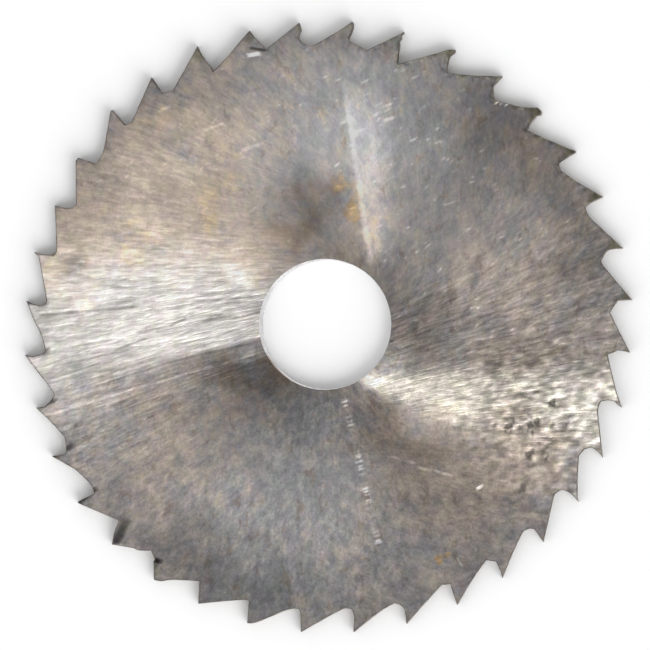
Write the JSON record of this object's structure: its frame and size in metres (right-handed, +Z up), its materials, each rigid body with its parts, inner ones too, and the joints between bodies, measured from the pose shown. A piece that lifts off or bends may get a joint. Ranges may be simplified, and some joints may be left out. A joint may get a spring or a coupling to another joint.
{
  "type": "angle grinder carving disc",
  "caption": "Flat steel disc with hand-filed hooked saw teeth around its rim and a chamfered centre bore, clamped on an angle grinder's spindle to carve and shape wood.",
  "frame": {"origin": "on the spindle axis, where it meets the plane of the disc's underside", "axes": "+Z up along the spindle axis, through the bore; +Y towards the top of the disc as it is seen from above, with the teeth cutting clockwise"},
  "size_m": [0.1047, 0.1049, 0.0022],
  "materials": {
    "blade_steel": "worn, turned and stained"
  },
  "bodies": {
    "root": {"toothed_disc": "blade_steel"}
  },
  "joints": []
}
